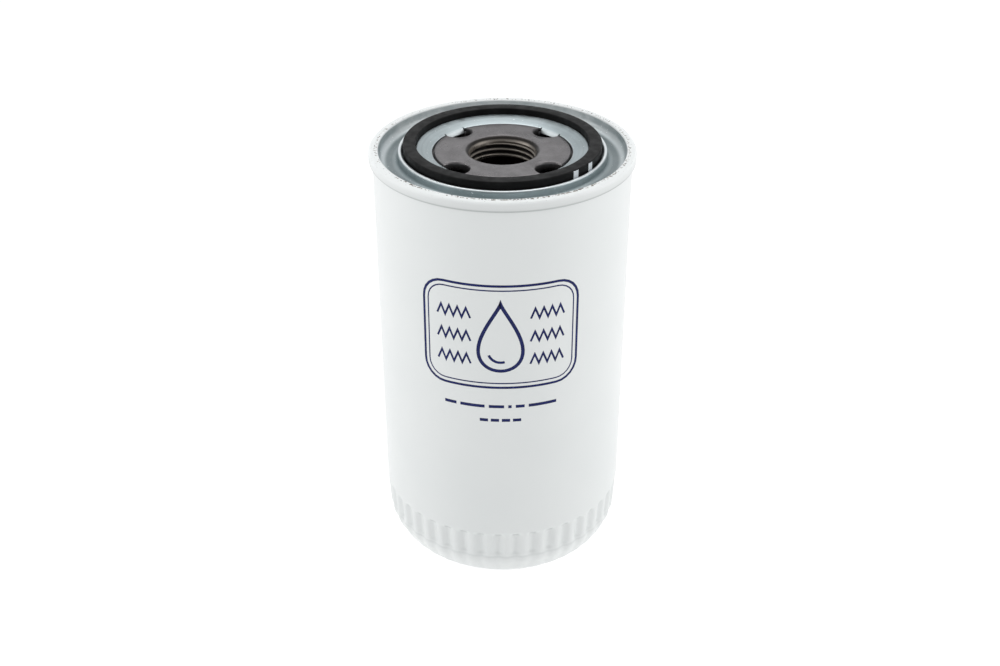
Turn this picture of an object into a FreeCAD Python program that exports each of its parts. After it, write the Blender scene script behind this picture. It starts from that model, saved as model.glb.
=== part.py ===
import FreeCAD, Part

import math
import os

import Sketcher

# Spin-on oil filter: a drawn and fluted steel canister closed by a seamed lid and a threaded base
# plate, with a pleated element inside that a coil spring holds up. Millimetres, +Z up through the
# thread, origin at the middle of the canister's foot. Heights are measured from that foot.
DIMENSIONS = {
    # canister
    "can_radius": 46.5, "can_wall": 0.6, "dish_radius": 12.0, "dish_height": 3.0,
    "foot_inner": 18.0, "foot_outer": 20.4, "sweep_radius": 40.5, "bend_radius": 40.65,
    "bend_height": 5.43, "bend_inset": 0.3, "bend_rise": 0.52, "corner_radius": 9.9,
    "shoulder_radius": 45.6, "shoulder_height": 14.0, "crease_radius": 45.8, "crease_height": 16.6,
    "taper_top": 29.0,
    # wrench flutes
    "flute_count": 43, "flute_centre": 48.4, "flute_radius": 3.2, "flute_foot": 8.0,
    "flute_top": 25.4,
    # rolled seam
    "seam_foot": 164.3, "seam_top": 168.0, "seam_radius": 47.9, "seam_inner": 44.4,
    "seam_low_round": 0.5, "seam_round": 1.5, "seam_edge_round": 0.7,
    # seaming lid
    "lid_wall": 0.8, "lid_inner": 25.2, "lid_inner_height": 166.0, "plateau_radius": 30.5,
    "plateau_height": 167.7, "plateau_round": 0.5, "under_drop": 0.2, "groove_inner": 31.0,
    "groove_outer": 35.9, "groove_floor": 164.5, "lip_round": 0.8, "lip_height": 167.2,
    "trough_floor": 163.5, "trough_inner_round": 0.6, "trough_outer_round": 1.6,
    "hook_radius": 47.2, "hook_foot": 165.0, "tab_width": 8.5, "tab_inset": 0.5, "tab_foot": 163.2,
    "tab_top": 165.6, "tab_count": 4,
    # threaded base plate
    "thread_minor": 11.65, "collar_foot": 158.7, "collar_radius": 17.0, "collar_chamfer": 0.5,
    "collar_round": 1.6, "mouth_round": 2.6, "plate_wall": 3.0, "plate_centre_top": 166.5,
    "plate_centre_radius": 23.5, "plate_slope_radius": 25.0, "plate_ledge_top": 165.2,
    "plate_step_radius": 30.0, "plate_lower_step": 32.0, "plate_edge_radius": 42.0,
    "under_slope_inner": 24.0, "under_slope_outer": 25.4, "under_step_inner": 29.4,
    "inlet_radius": 5.2, "inlet_circle": 23.4, "inlet_count": 4, "punch_clearance": 1.0,
    # sealing gasket
    "gasket_inner": 31.0, "gasket_outer": 35.5, "gasket_top": 169.8, "gasket_round": 0.3,
    # anti-drain-back valve
    "valve_neck_inner": 17.2, "valve_neck_outer": 18.3, "valve_neck_foot": 151.0,
    "valve_neck_top": 160.8, "flap_root_height": 156.1, "flap_root_wall": 1.2,
    "flap_lip_top": 159.4, "flap_lip_inner": 33.4, "flap_lip_outer": 35.0, "flap_lip_wall": 0.8,
    # filter element
    "cap_radius": 41.5, "cap_wall": 0.6, "cap_round": 0.8, "cap_skirt": 5.2, "upper_cap_top": 153.0,
    "upper_neck_inner": 18.6, "upper_neck_foot": 148.2, "boss_radius": 1.8, "boss_circle": 38.6,
    "boss_top": 159.5, "boss_count": 4, "lower_cap_foot": 18.0, "lower_cap_hole": 11.0,
    "potting_depth": 2.9, "tube_outer": 21.5, "tube_wall": 0.6, "tube_gap": 0.1,
    "tube_hole_radius": 2.6, "tube_hole_rows": 11, "tube_hole_pitch": 11.0, "tube_hole_start": 30.5,
    "tube_hole_turns": 6, "pleat_count": 54, "pleat_tip": 40.4, "pleat_root": 22.0,
    "pleat_fold": 4.1, "clip_depth": 3.6, "clip_half_width": 1.15, "clip_wall": 0.35,
    "clip_gap": 0.08,
    # bypass valve
    "seat_hole": 8.0, "seat_radius": 17.0, "seat_wall": 0.8, "cage_inner": 12.7, "cage_wall": 0.8,
    "cage_top": 40.0, "cage_hole": 2.5, "window_pairs": 2, "window_width": 9.0, "window_foot": 24.0,
    "window_top": 36.0, "seal_radius": 10.5, "seal_gap": 0.1, "seal_wall": 1.4,
    "poppet_radius": 11.0, "poppet_wall": 0.8, "hub_radius": 5.4, "hub_height": 1.2,
    "stem_radius": 2.2, "stem_top": 44.0, "rivet_radius": 4.0, "rivet_wall": 0.6,
    "bypass_mean": 7.2, "bypass_wire": 0.7, "bypass_turns": 6.0,
    # element spring and its seat
    "spring_mean": 20.6, "spring_wire": 1.2, "spring_turns": 3.5, "spring_seat_top": 18.0,
    "spring_seat_wall": 0.8, "spring_seat_inner": 13.5, "spring_seat_outer": 24.5,
    "spring_seat_lip": 3.0, "coil_piece": 0.5,
}

FULL_TURN = 360.0
DIAGONAL = math.sqrt(0.5)
LEAST_CHANGE = 0.001  # mm3

doc = FreeCAD.newDocument("oil_filter")
sheet = doc.addObject("Spreadsheet::Sheet", "Dims")
for row, (alias, number) in enumerate(DIMENSIONS.items(), start=1):
    sheet.set(f"A{row}", alias)
    sheet.set(f"B{row}", str(number))
    sheet.setAlias(f"B{row}", alias)
doc.recompute()

NODES = []


def size(text):
    """Value of a sum of sheet names and plain numbers, such as 'can_radius - can_wall'."""
    total = 0.0
    sign = 1
    for word in text.split():
        if word in ("+", "-"):
            sign = 1 if word == "+" else -1
        else:
            total += sign * float(sheet.get(word) if word in DIMENSIONS else word)
    return total


def bound(text):
    """The same sum as an expression on the sheet."""
    return " ".join("Dims." + word if word in DIMENSIONS else word for word in text.split())


def new_body(label, is_node=True):
    body = doc.addObject("PartDesign::Body", label)
    body.Label = label
    if is_node:
        NODES.append(body)
    return body


def origin_feature(body, role):
    return next(item for item in body.Origin.OriginFeatures if item.Role == role)


def new_sketch(body, name, plane, height=None):
    sketch = body.newObject("Sketcher::SketchObject", name)
    sketch.AttachmentSupport = [(origin_feature(body, plane), "")]
    sketch.MapMode = "FlatFace"
    if height:
        sketch.setExpression("AttachmentOffset.Base.z", bound(height))
    return sketch


def draw_circle(sketch, across, up, radius):
    """Circle of a sheet radius round a point given in millimetres."""
    centre = FreeCAD.Vector(across, up, 0)
    circle = sketch.addGeometry(Part.Circle(centre, FreeCAD.Vector(0, 0, 1), size(radius)), False)
    held = sketch.addConstraint(Sketcher.Constraint("Radius", circle, size(radius)))
    sketch.setExpression(f"Constraints[{held}]", bound(radius))


def draw_polygon(sketch, corners):
    """Closed outline of straight edges through (across, up) corners in millimetres."""
    points = [FreeCAD.Vector(across, up, 0) for across, up in corners]
    for start, end in zip(points, points[1:] + points[:1]):
        sketch.addGeometry(Part.LineSegment(start, end), False)


def pin_point(sketch, edge, end, across, up):
    """Holds one end of an edge at sheet distances from the sketch's origin."""
    for kind, text in (("DistanceX", across), ("DistanceY", up)):
        index = sketch.addConstraint(Sketcher.Constraint(kind, -1, 1, edge, end, size(text)))
        if any(word in DIMENSIONS for word in text.split()):
            sketch.setExpression(f"Constraints[{index}]", bound(text))


def arc_between(start, end, radius):
    """Arc from start to end, turning left for a positive radius and right for a negative one."""
    chord = end - start
    rise = math.sqrt(max(radius * radius - chord.Length ** 2 / 4, 0.0))
    left = FreeCAD.Vector(-chord.y, chord.x, 0).normalize()
    centre = (start + end) * 0.5 + left * math.copysign(rise, radius)
    first, last = (start, end) if radius > 0 else (end, start)
    angles = [math.atan2(point.y - centre.y, point.x - centre.x) for point in (first, last)]
    if angles[1] < angles[0]:
        angles[1] += 2 * math.pi
    circle = Part.Circle(centre, FreeCAD.Vector(0, 0, 1), abs(radius))
    return Part.ArcOfCircle(circle, *angles)


def draw_outline(sketch, corners):
    """Closed outline. Each corner is (across, up), with a third entry, '+radius' or '-radius', where
    the edge that leaves it is an arc that turns left or right."""
    points = [FreeCAD.Vector(size(corner[0]), size(corner[1]), 0) for corner in corners]
    ends = []
    for index, corner in enumerate(corners):
        start = points[index]
        end = points[(index + 1) % len(points)]
        if len(corner) == 2:
            edge = sketch.addGeometry(Part.LineSegment(start, end), False)
            ends.append((edge, 1, 2))
            continue
        radius_name = corner[2][1:]
        turns_left = corner[2][0] == "+"
        radius = size(radius_name)
        edge = sketch.addGeometry(arc_between(start, end, radius if turns_left else -radius), False)
        ends.append((edge, 1, 2) if turns_left else (edge, 2, 1))
        held = sketch.addConstraint(Sketcher.Constraint("Radius", edge, radius))
        sketch.setExpression(f"Constraints[{held}]", bound(radius_name))
    for index, (edge, first, last) in enumerate(ends):
        following = ends[(index + 1) % len(ends)]
        sketch.addConstraint(Sketcher.Constraint("Coincident", edge, last, following[0], following[1]))
        pin_point(sketch, edge, first, *corners[index][:2])


def turn(body, corners):
    """Revolves an outline of (radius, height) corners about the filter's axis."""
    sketch = new_sketch(body, f"{body.Label}_profile", "XZ_Plane")
    draw_outline(sketch, corners)
    solid = body.newObject("PartDesign::Revolution", f"{body.Label}_turned")
    solid.Profile = sketch
    solid.ReferenceAxis = (sketch, ["V_Axis"])
    solid.Angle = FULL_TURN


def check_change(body, before):
    """Stops if the newest feature left the solid's volume as it was."""
    doc.recompute()
    if abs(body.Shape.Volume - before) < LEAST_CHANGE:
        raise RuntimeError(f"{body.Label}: its newest feature changed nothing")


def repeat(body, feature, count, angle=FULL_TURN):
    """Repeats a feature about the filter's axis."""
    doc.recompute()
    before = body.Shape.Volume
    pattern = body.newObject("PartDesign::PolarPattern", f"{feature.Name}_ring")
    pattern.Originals = [feature]
    pattern.Axis = (origin_feature(body, "Z_Axis"), [""])
    pattern.Angle = angle
    pattern.setExpression("Occurrences", bound(count))
    body.Tip = pattern
    check_change(body, before)


def cut_across(body, sketch, depth, count):
    """Cuts a sketch drawn on the XZ plane through both walls of a round solid, count times round it."""
    doc.recompute()
    before = body.Shape.Volume
    pocket = body.newObject("PartDesign::Pocket", f"{sketch.Name}_cut")
    pocket.Profile = sketch
    pocket.Midplane = True
    pocket.setExpression("Length", f"2 * ({bound(depth)})")
    check_change(body, before)
    cuts = size(count)
    repeat(body, pocket, count, angle=FULL_TURN / 2 * (cuts - 1) / cuts)


def press_flutes(body, wall):
    """Presses the ring of round-topped wrench flutes, deeper by wall on the inside of the sheet."""
    reach = f"flute_radius + {wall}"
    inner = f"flute_centre - flute_radius - {wall}"
    sketch = new_sketch(body, f"{body.Label}_flute", "XZ_Plane")
    draw_outline(sketch, [
        ("flute_centre", "flute_foot"),
        ("flute_centre", f"flute_top + {reach}", "+" + reach),
        (inner, "flute_top"),
        (inner, "flute_foot"),
    ])
    foot = FreeCAD.Vector(size("flute_centre"), size("flute_foot"), 0)
    top = FreeCAD.Vector(size("flute_centre"), size("flute_top"), 0)
    axis = sketch.addGeometry(Part.LineSegment(foot, top), True)
    pin_point(sketch, axis, 1, "flute_centre", "flute_foot")
    pin_point(sketch, axis, 2, "flute_centre", "flute_top")
    doc.recompute()
    before = body.Shape.Volume
    groove = body.newObject("PartDesign::Groove", f"{body.Label}_flute_cut")
    groove.Profile = sketch
    groove.ReferenceAxis = (sketch, ["Axis0"])
    groove.Angle = FULL_TURN
    check_change(body, before)
    repeat(body, groove, "flute_count")


def make_canister():
    """Drawn shell: dished foot, round corner, flutes, straight wall and the rolled rim."""
    outside = new_body("canister_outside", is_node=False)
    turn(outside, [
        ("0", "dish_height"),
        ("dish_radius", "dish_height"),
        ("foot_inner", "0"),
        ("foot_outer", "0", "+sweep_radius"),
        ("bend_radius", "bend_height", "+corner_radius"),
        ("shoulder_radius", "shoulder_height"),
        ("crease_radius", "crease_height"),
        ("can_radius", "taper_top"),
        ("can_radius", "seam_foot"),
        ("seam_radius - seam_low_round", "seam_foot", "+seam_low_round"),
        ("seam_radius", "seam_foot + seam_low_round"),
        ("seam_radius", "seam_top - seam_round", "+seam_round"),
        ("seam_radius - seam_round", "seam_top"),
        ("seam_inner + seam_edge_round", "seam_top", "+seam_edge_round"),
        ("seam_inner", "seam_top - seam_edge_round"),
        ("0", "seam_top - seam_edge_round"),
    ])
    press_flutes(outside, "0")
    inside = new_body("canister_inside", is_node=False)
    turn(inside, [
        ("0", "dish_height + can_wall"),
        ("dish_radius + bend_inset", "dish_height + can_wall"),
        ("foot_inner + bend_inset", "can_wall"),
        ("foot_outer", "can_wall", "+sweep_radius - can_wall"),
        ("bend_radius - bend_inset", "bend_height + bend_rise", "+corner_radius - can_wall"),
        ("shoulder_radius - can_wall", "shoulder_height"),
        ("crease_radius - can_wall", "crease_height"),
        ("can_radius - can_wall", "taper_top"),
        ("can_radius - can_wall", "seam_foot + can_wall"),
        ("seam_radius - can_wall", "seam_foot + can_wall"),
        ("seam_radius - can_wall", "seam_top - seam_round", "+seam_round - can_wall"),
        ("seam_radius - seam_round", "seam_top - can_wall"),
        ("seam_inner", "seam_top - can_wall"),
        ("seam_inner", "seam_top + can_wall"),
        ("0", "seam_top + can_wall"),
    ])
    press_flutes(inside, "can_wall")
    shell = doc.addObject("Part::Cut", "canister")
    shell.Label = "canister"
    shell.Base = outside
    shell.Tool = inside
    NODES.append(shell)


def make_seaming_lid():
    """Pressed zinc lid: sloping inner ring, gasket groove, trough, wall and the hook inside the rim."""
    lid = new_body("seaming_lid")
    turn(lid, [
        ("lid_inner", "lid_inner_height - lid_wall"),
        ("plateau_radius - lid_wall", "plateau_height - lid_wall - under_drop"),
        ("groove_inner - lid_wall", "plateau_height - lid_wall - under_drop - under_drop"),
        ("groove_inner - lid_wall", "groove_floor - lid_wall"),
        ("groove_outer + lip_round", "groove_floor - lid_wall"),
        ("groove_outer + lip_round", "trough_floor - lid_wall"),
        ("seam_inner - trough_outer_round", "trough_floor - lid_wall", "+trough_outer_round + lid_wall"),
        ("seam_inner + lid_wall", "trough_floor + trough_outer_round"),
        ("seam_inner + lid_wall", "seam_top - can_wall - lid_wall"),
        ("hook_radius - lid_wall", "seam_top - can_wall - lid_wall"),
        ("hook_radius - lid_wall", "hook_foot"),
        ("hook_radius", "hook_foot"),
        ("hook_radius", "seam_top - seam_round"),
        ("hook_radius - lid_wall", "seam_top - can_wall"),
        ("seam_inner", "seam_top - can_wall"),
        ("seam_inner", "trough_floor + trough_outer_round", "-trough_outer_round"),
        ("seam_inner - trough_outer_round", "trough_floor"),
        ("groove_outer + lip_round + lip_round + trough_inner_round", "trough_floor", "-trough_inner_round"),
        ("groove_outer + lip_round + lip_round", "trough_floor + trough_inner_round"),
        ("groove_outer + lip_round + lip_round", "lip_height - lip_round", "+lip_round"),
        ("groove_outer + lip_round", "lip_height", "+lip_round"),
        ("groove_outer", "lip_height - lip_round"),
        ("groove_outer", "groove_floor"),
        ("groove_inner", "groove_floor"),
        ("groove_inner", "plateau_height - plateau_round", "+plateau_round"),
        ("plateau_radius", "plateau_height"),
        ("lid_inner", "lid_inner_height"),
    ])
    sketch = new_sketch(lid, "lid_tab", "XY_Plane", "tab_foot")
    near = size("lid_inner - tab_inset")
    far = size("lid_inner - tab_inset + lid_wall")
    half = size("tab_width") / 2
    straight = [(near, -half), (far, -half), (far, half), (near, half)]
    draw_polygon(sketch, [((x - y) * DIAGONAL, (x + y) * DIAGONAL) for x, y in straight])
    tab = lid.newObject("PartDesign::Pad", "lid_tab_pad")
    tab.Profile = sketch
    tab.setExpression("Length", bound("tab_top - tab_foot"))
    repeat(lid, tab, "tab_count")


def make_seam_compound():
    """Soft lining compound that fills the pocket between the lid's hook and the canister's wall."""
    turn(new_body("seam_sealing_compound"), [
        ("seam_inner + lid_wall", "hook_foot"),
        ("hook_radius - lid_wall", "hook_foot"),
        ("hook_radius - lid_wall", "seam_top - can_wall - lid_wall"),
        ("seam_inner + lid_wall", "seam_top - can_wall - lid_wall"),
    ])


def make_base_plate():
    """Thick stepped plate with the threaded collar, its bore at the thread's minor diameter, and the
    ring of round oil inlets."""
    plate = new_body("threaded_base_plate")
    turn(plate, [
        ("thread_minor", "collar_foot"),
        ("collar_radius - collar_chamfer", "collar_foot"),
        ("collar_radius", "collar_foot + collar_chamfer"),
        ("collar_radius", "plate_centre_top - plate_wall - collar_round", "-collar_round"),
        ("collar_radius + collar_round", "plate_centre_top - plate_wall"),
        ("under_slope_inner", "plate_centre_top - plate_wall"),
        ("under_slope_outer", "plate_ledge_top - plate_wall"),
        ("under_step_inner", "plate_ledge_top - plate_wall"),
        ("plate_lower_step", "trough_floor - lid_wall - plate_wall"),
        ("plate_edge_radius", "trough_floor - lid_wall - plate_wall"),
        ("plate_edge_radius", "trough_floor - lid_wall"),
        ("groove_outer + lip_round", "trough_floor - lid_wall"),
        ("groove_outer + lip_round", "groove_floor - lid_wall"),
        ("plate_step_radius", "groove_floor - lid_wall"),
        ("plate_step_radius", "plate_ledge_top"),
        ("plate_slope_radius", "plate_ledge_top"),
        ("plate_centre_radius", "plate_centre_top"),
        ("thread_minor + mouth_round", "plate_centre_top", "+mouth_round"),
        ("thread_minor", "plate_centre_top - mouth_round"),
    ])
    sketch = new_sketch(plate, "inlet", "XY_Plane", "plate_centre_top + punch_clearance")
    offset = size("inlet_circle") * DIAGONAL
    draw_circle(sketch, offset, offset, "inlet_radius")
    doc.recompute()
    before = plate.Shape.Volume
    hole = plate.newObject("PartDesign::Pocket", "inlet_hole")
    hole.Profile = sketch
    hole.setExpression("Length", bound("plate_centre_top + punch_clearance - collar_foot"))
    check_change(plate, before)
    repeat(plate, hole, "inlet_count")


def make_gasket():
    """Square-cut sealing ring with broken edges, standing proud of the lid's groove."""
    inner, outer = "gasket_inner", "gasket_outer"
    foot, top, soft = "groove_floor", "gasket_top", "gasket_round"
    turn(new_body("sealing_gasket"), [
        (f"{inner} + {soft}", foot),
        (f"{outer} - {soft}", foot, f"+{soft}"),
        (outer, f"{foot} + {soft}"),
        (outer, f"{top} - {soft}", f"+{soft}"),
        (f"{outer} - {soft}", top),
        (f"{inner} + {soft}", top, f"+{soft}"),
        (inner, f"{top} - {soft}"),
        (inner, f"{foot} + {soft}", f"+{soft}"),
    ])


def make_drainback_valve():
    """Rubber valve: a neck round the plate's collar and a shallow flap whose lip closes the inlets."""
    turn(new_body("anti_drainback_valve"), [
        ("valve_neck_inner", "valve_neck_foot"),
        ("valve_neck_outer", "valve_neck_foot"),
        ("valve_neck_outer", "flap_root_height"),
        ("flap_lip_outer", "flap_lip_top - flap_lip_wall"),
        ("flap_lip_outer", "flap_lip_top"),
        ("flap_lip_inner", "flap_lip_top"),
        ("valve_neck_outer", "flap_root_height + flap_root_wall"),
        ("valve_neck_outer", "valve_neck_top"),
        ("valve_neck_inner", "valve_neck_top"),
    ])


def make_end_caps():
    """Two pressed steel cups that close the pleats; the upper one has spacer bosses and a neck."""
    upper = new_body("upper_end_cap")
    turn(upper, [
        ("upper_neck_inner", "upper_neck_foot"),
        ("upper_neck_inner + cap_wall", "upper_neck_foot"),
        ("upper_neck_inner + cap_wall", "upper_cap_top - cap_wall"),
        ("cap_radius - cap_wall", "upper_cap_top - cap_wall"),
        ("cap_radius - cap_wall", "upper_cap_top - cap_skirt"),
        ("cap_radius", "upper_cap_top - cap_skirt"),
        ("cap_radius", "upper_cap_top - cap_round", "+cap_round"),
        ("cap_radius - cap_round", "upper_cap_top"),
        ("upper_neck_inner + cap_round", "upper_cap_top", "+cap_round"),
        ("upper_neck_inner", "upper_cap_top - cap_round"),
    ])
    sketch = new_sketch(upper, "spacer_boss", "XY_Plane", "upper_cap_top - cap_wall")
    draw_circle(sketch, size("boss_circle"), 0, "boss_radius")
    boss = upper.newObject("PartDesign::Pad", "spacer_boss_pad")
    boss.Profile = sketch
    boss.setExpression("Length", bound("boss_top - upper_cap_top + cap_wall"))
    repeat(upper, boss, "boss_count")
    turn(new_body("lower_end_cap"), [
        ("lower_cap_hole", "lower_cap_foot"),
        ("cap_radius - cap_round", "lower_cap_foot", "+cap_round"),
        ("cap_radius", "lower_cap_foot + cap_round"),
        ("cap_radius", "lower_cap_foot + cap_skirt"),
        ("cap_radius - cap_wall", "lower_cap_foot + cap_skirt"),
        ("cap_radius - cap_wall", "lower_cap_foot + cap_wall"),
        ("lower_cap_hole", "lower_cap_foot + cap_wall"),
    ])


def make_potting_rings():
    """Cured sealing compound that bonds each end of the pleats into its cap."""
    floors = {
        "upper_potting_ring": ("upper_cap_top - cap_wall - potting_depth", "upper_cap_top - cap_wall"),
        "lower_potting_ring": ("lower_cap_foot + cap_wall", "lower_cap_foot + cap_wall + potting_depth"),
    }
    for label, (foot, top) in floors.items():
        turn(new_body(label), [
            ("tube_outer + tube_gap", foot),
            ("cap_radius - cap_wall", foot),
            ("cap_radius - cap_wall", top),
            ("tube_outer + tube_gap", top),
        ])


def make_center_tube():
    """Perforated steel tube that carries the pleats against the oil's inward pressure."""
    tube = new_body("center_tube")
    turn(tube, [
        ("tube_outer - tube_wall", "lower_cap_foot + cap_wall"),
        ("tube_outer", "lower_cap_foot + cap_wall"),
        ("tube_outer", "upper_cap_top - cap_wall"),
        ("tube_outer - tube_wall", "upper_cap_top - cap_wall"),
    ])
    sketch = new_sketch(tube, "tube_holes", "XZ_Plane")
    for row in range(int(size("tube_hole_rows"))):
        height = size("tube_hole_start") + row * size("tube_hole_pitch")
        draw_circle(sketch, 0, height, "tube_hole_radius")
    cut_across(tube, sketch, "tube_outer + punch_clearance", "tube_hole_turns")


def make_pleats():
    """Folded paper: a star of folds of even thickness, with one metal clip over the closing fold."""
    tip, root, fold = size("pleat_tip"), size("pleat_root"), size("pleat_fold")
    foot = size("lower_cap_foot + cap_wall + potting_depth")
    top = size("upper_cap_top - cap_wall - potting_depth")
    half_turn = math.pi / size("pleat_count")
    wires = []
    for radii in ((tip, root + fold), (tip - fold, root)):
        corners = []
        for step in range(2 * int(size("pleat_count"))):
            radius = radii[step % 2]
            across = radius * math.cos(step * half_turn)
            corners.append(FreeCAD.Vector(across, radius * math.sin(step * half_turn), foot))
        wires.append(Part.makePolygon(corners + corners[:1]))
    media = doc.addObject("Part::Feature", "pleated_media")
    media.Label = "pleated_media"
    section = Part.makeFace(wires, "Part::FaceMakerBullseye")
    media.Shape = section.extrude(FreeCAD.Vector(0, 0, top - foot))
    media.Placement = FreeCAD.Placement()
    NODES.append(media)

    clip = new_body("media_seam_clip")
    sketch = new_sketch(clip, "clip_section", "XY_Plane", "lower_cap_foot + cap_wall + potting_depth")
    gap_side = size("clip_half_width - clip_wall")
    side = size("clip_half_width")
    outer = size("pleat_tip + clip_gap + clip_wall")
    inner = size("pleat_tip + clip_gap")
    back = size("pleat_tip + clip_gap - clip_depth")
    channel = [
        (back, -side), (outer, -side), (outer, side), (back, side),
        (back, gap_side), (inner, gap_side), (inner, -gap_side), (back, -gap_side),
    ]
    draw_polygon(sketch, channel)
    strip = clip.newObject("PartDesign::Pad", "clip_strip")
    strip.Profile = sketch
    span = "upper_cap_top - lower_cap_foot - cap_wall - cap_wall - potting_depth - potting_depth"
    strip.setExpression("Length", bound(span))


def make_bypass_valve():
    """Seat washer, windowed cage, and the poppet with its seal and guide stem."""
    seat_foot = "lower_cap_foot + cap_wall"
    cage_foot = f"{seat_foot} + seat_wall"
    turn(new_body("bypass_valve_seat"), [
        ("seat_hole", seat_foot),
        ("seat_radius", seat_foot),
        ("seat_radius", cage_foot),
        ("seat_hole", cage_foot),
    ])
    cage = new_body("bypass_valve_cage")
    turn(cage, [
        ("cage_inner", cage_foot),
        ("seat_radius", cage_foot),
        ("seat_radius", f"{cage_foot} + cage_wall"),
        ("cage_inner + cage_wall", f"{cage_foot} + cage_wall"),
        ("cage_inner + cage_wall", "cage_top"),
        ("cage_hole", "cage_top"),
        ("cage_hole", "cage_top - cage_wall"),
        ("cage_inner", "cage_top - cage_wall"),
    ])
    window = new_sketch(cage, "cage_window", "XZ_Plane")
    half = size("window_width") / 2
    foot, top = size("window_foot"), size("window_top")
    draw_polygon(window, [(-half, foot), (half, foot), (half, top), (-half, top)])
    cut_across(cage, window, "cage_inner + cage_wall + punch_clearance", "window_pairs")

    seal_foot = f"{cage_foot} + seal_gap"
    poppet_foot = f"{seal_foot} + seal_wall"
    poppet_top = f"{poppet_foot} + poppet_wall"
    turn(new_body("bypass_valve_seal"), [
        ("stem_radius", seal_foot),
        ("seal_radius", seal_foot),
        ("seal_radius", poppet_foot),
        ("stem_radius", poppet_foot),
    ])
    turn(new_body("bypass_valve_poppet"), [
        ("stem_radius", poppet_foot),
        ("poppet_radius", poppet_foot),
        ("poppet_radius", poppet_top),
        ("hub_radius", poppet_top),
        ("hub_radius", f"{poppet_top} + hub_height"),
        ("stem_radius", f"{poppet_top} + hub_height"),
    ])
    turn(new_body("bypass_valve_stem"), [
        ("0", f"{seal_foot} - rivet_wall"),
        ("rivet_radius", f"{seal_foot} - rivet_wall"),
        ("rivet_radius", seal_foot),
        ("stem_radius", seal_foot),
        ("stem_radius", "stem_top"),
        ("0", "stem_top"),
    ])
    make_coil("bypass_valve_spring", "bypass_mean", "bypass_wire", "bypass_turns",
              poppet_top, "cage_top - cage_wall")


def make_coil(label, mean, wire, turns, foot, top):
    """Round-wire compression spring whose first and last turns just touch foot and top."""
    rise = f"{bound(top)} - ({bound(foot)}) - 2 * {bound(wire)}"
    spine = doc.addObject("Part::Helix", f"{label}_spine")
    spine.setExpression("Radius", bound(mean))
    spine.setExpression("Height", rise)
    spine.setExpression("Pitch", f"({rise}) / {bound(turns)}")
    spine.setExpression("SegmentLength", bound("coil_piece"))
    spine.setExpression("Placement.Base.z", bound(f"{foot} + {wire}"))
    section = doc.addObject("Part::Circle", f"{label}_section")
    section.setExpression("Radius", bound(wire))
    section.Placement.Rotation = FreeCAD.Rotation(FreeCAD.Vector(1, 0, 0), 90)
    section.setExpression("Placement.Base.x", bound(mean))
    section.setExpression("Placement.Base.z", bound(f"{foot} + {wire}"))
    doc.recompute()
    spring = doc.addObject("Part::Sweep", label)
    spring.Label = label
    spring.Sections = [section]
    spring.Spine = (spine, [f"Edge{index + 1}" for index in range(len(spine.Shape.Edges))])
    spring.Solid = True
    spring.Frenet = True
    NODES.append(spring)


def make_element_spring():
    """Coil spring on the canister's foot that holds the element up, and the seat that spreads it."""
    under = "spring_seat_top - spring_seat_wall"
    turn(new_body("spring_seat_cup"), [
        ("spring_seat_inner", under),
        ("spring_seat_outer - spring_seat_wall", under),
        ("spring_seat_outer - spring_seat_wall", f"{under} - spring_seat_lip"),
        ("spring_seat_outer", f"{under} - spring_seat_lip"),
        ("spring_seat_outer", "spring_seat_top"),
        ("spring_seat_inner", "spring_seat_top"),
    ])
    make_coil("element_support_spring", "spring_mean", "spring_wire", "spring_turns", "can_wall", under)


def check_document():
    """Stops if any object failed or any sub-part has no valid solid."""
    for item in doc.Objects:
        if "Invalid" in item.State or "Error" in item.State:
            raise RuntimeError(f"{item.Label} did not recompute: {item.State}")
    for node in NODES:
        if node.Shape.isNull() or not node.Shape.isValid() or not node.Shape.Solids:
            raise RuntimeError(f"{node.Label} has no valid solid")


make_canister()
make_seaming_lid()
make_seam_compound()
make_base_plate()
make_gasket()
make_drainback_valve()
make_end_caps()
make_potting_rings()
make_center_tube()
make_pleats()
make_bypass_valve()
make_element_spring()
doc.recompute()
check_document()

os.makedirs("parts", exist_ok=True)
for node in NODES:
    node.Shape.exportStep(f"parts/{node.Label}.step")
    box = node.Shape.BoundBox
    print(f"{node.Label}: {len(node.Shape.Solids)} solid, {node.Shape.Volume:.0f} mm3, "
          f"radius {box.XMax:.2f}, z {box.ZMin:.2f} to {box.ZMax:.2f}")
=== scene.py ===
import math
import random

import bmesh
import bpy
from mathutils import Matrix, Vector


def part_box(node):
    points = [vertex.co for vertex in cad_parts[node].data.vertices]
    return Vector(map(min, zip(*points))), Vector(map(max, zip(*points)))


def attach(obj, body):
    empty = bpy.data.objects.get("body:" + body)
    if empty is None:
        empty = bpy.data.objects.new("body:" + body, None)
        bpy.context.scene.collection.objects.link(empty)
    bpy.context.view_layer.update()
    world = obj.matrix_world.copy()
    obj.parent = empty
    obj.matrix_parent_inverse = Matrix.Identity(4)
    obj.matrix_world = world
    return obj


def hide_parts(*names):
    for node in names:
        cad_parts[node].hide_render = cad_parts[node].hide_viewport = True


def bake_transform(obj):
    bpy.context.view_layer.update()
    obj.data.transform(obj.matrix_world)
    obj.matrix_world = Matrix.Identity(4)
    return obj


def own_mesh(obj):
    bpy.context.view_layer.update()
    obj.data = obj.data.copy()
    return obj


# Spin-on oil filter, standing on the Z axis. Lengths are in millimetres, and MM turns them into
# metres. Relief depths in the materials and the studio's lengths are in metres already. Heights are
# above the canister's foot.
MM = 0.001
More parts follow.
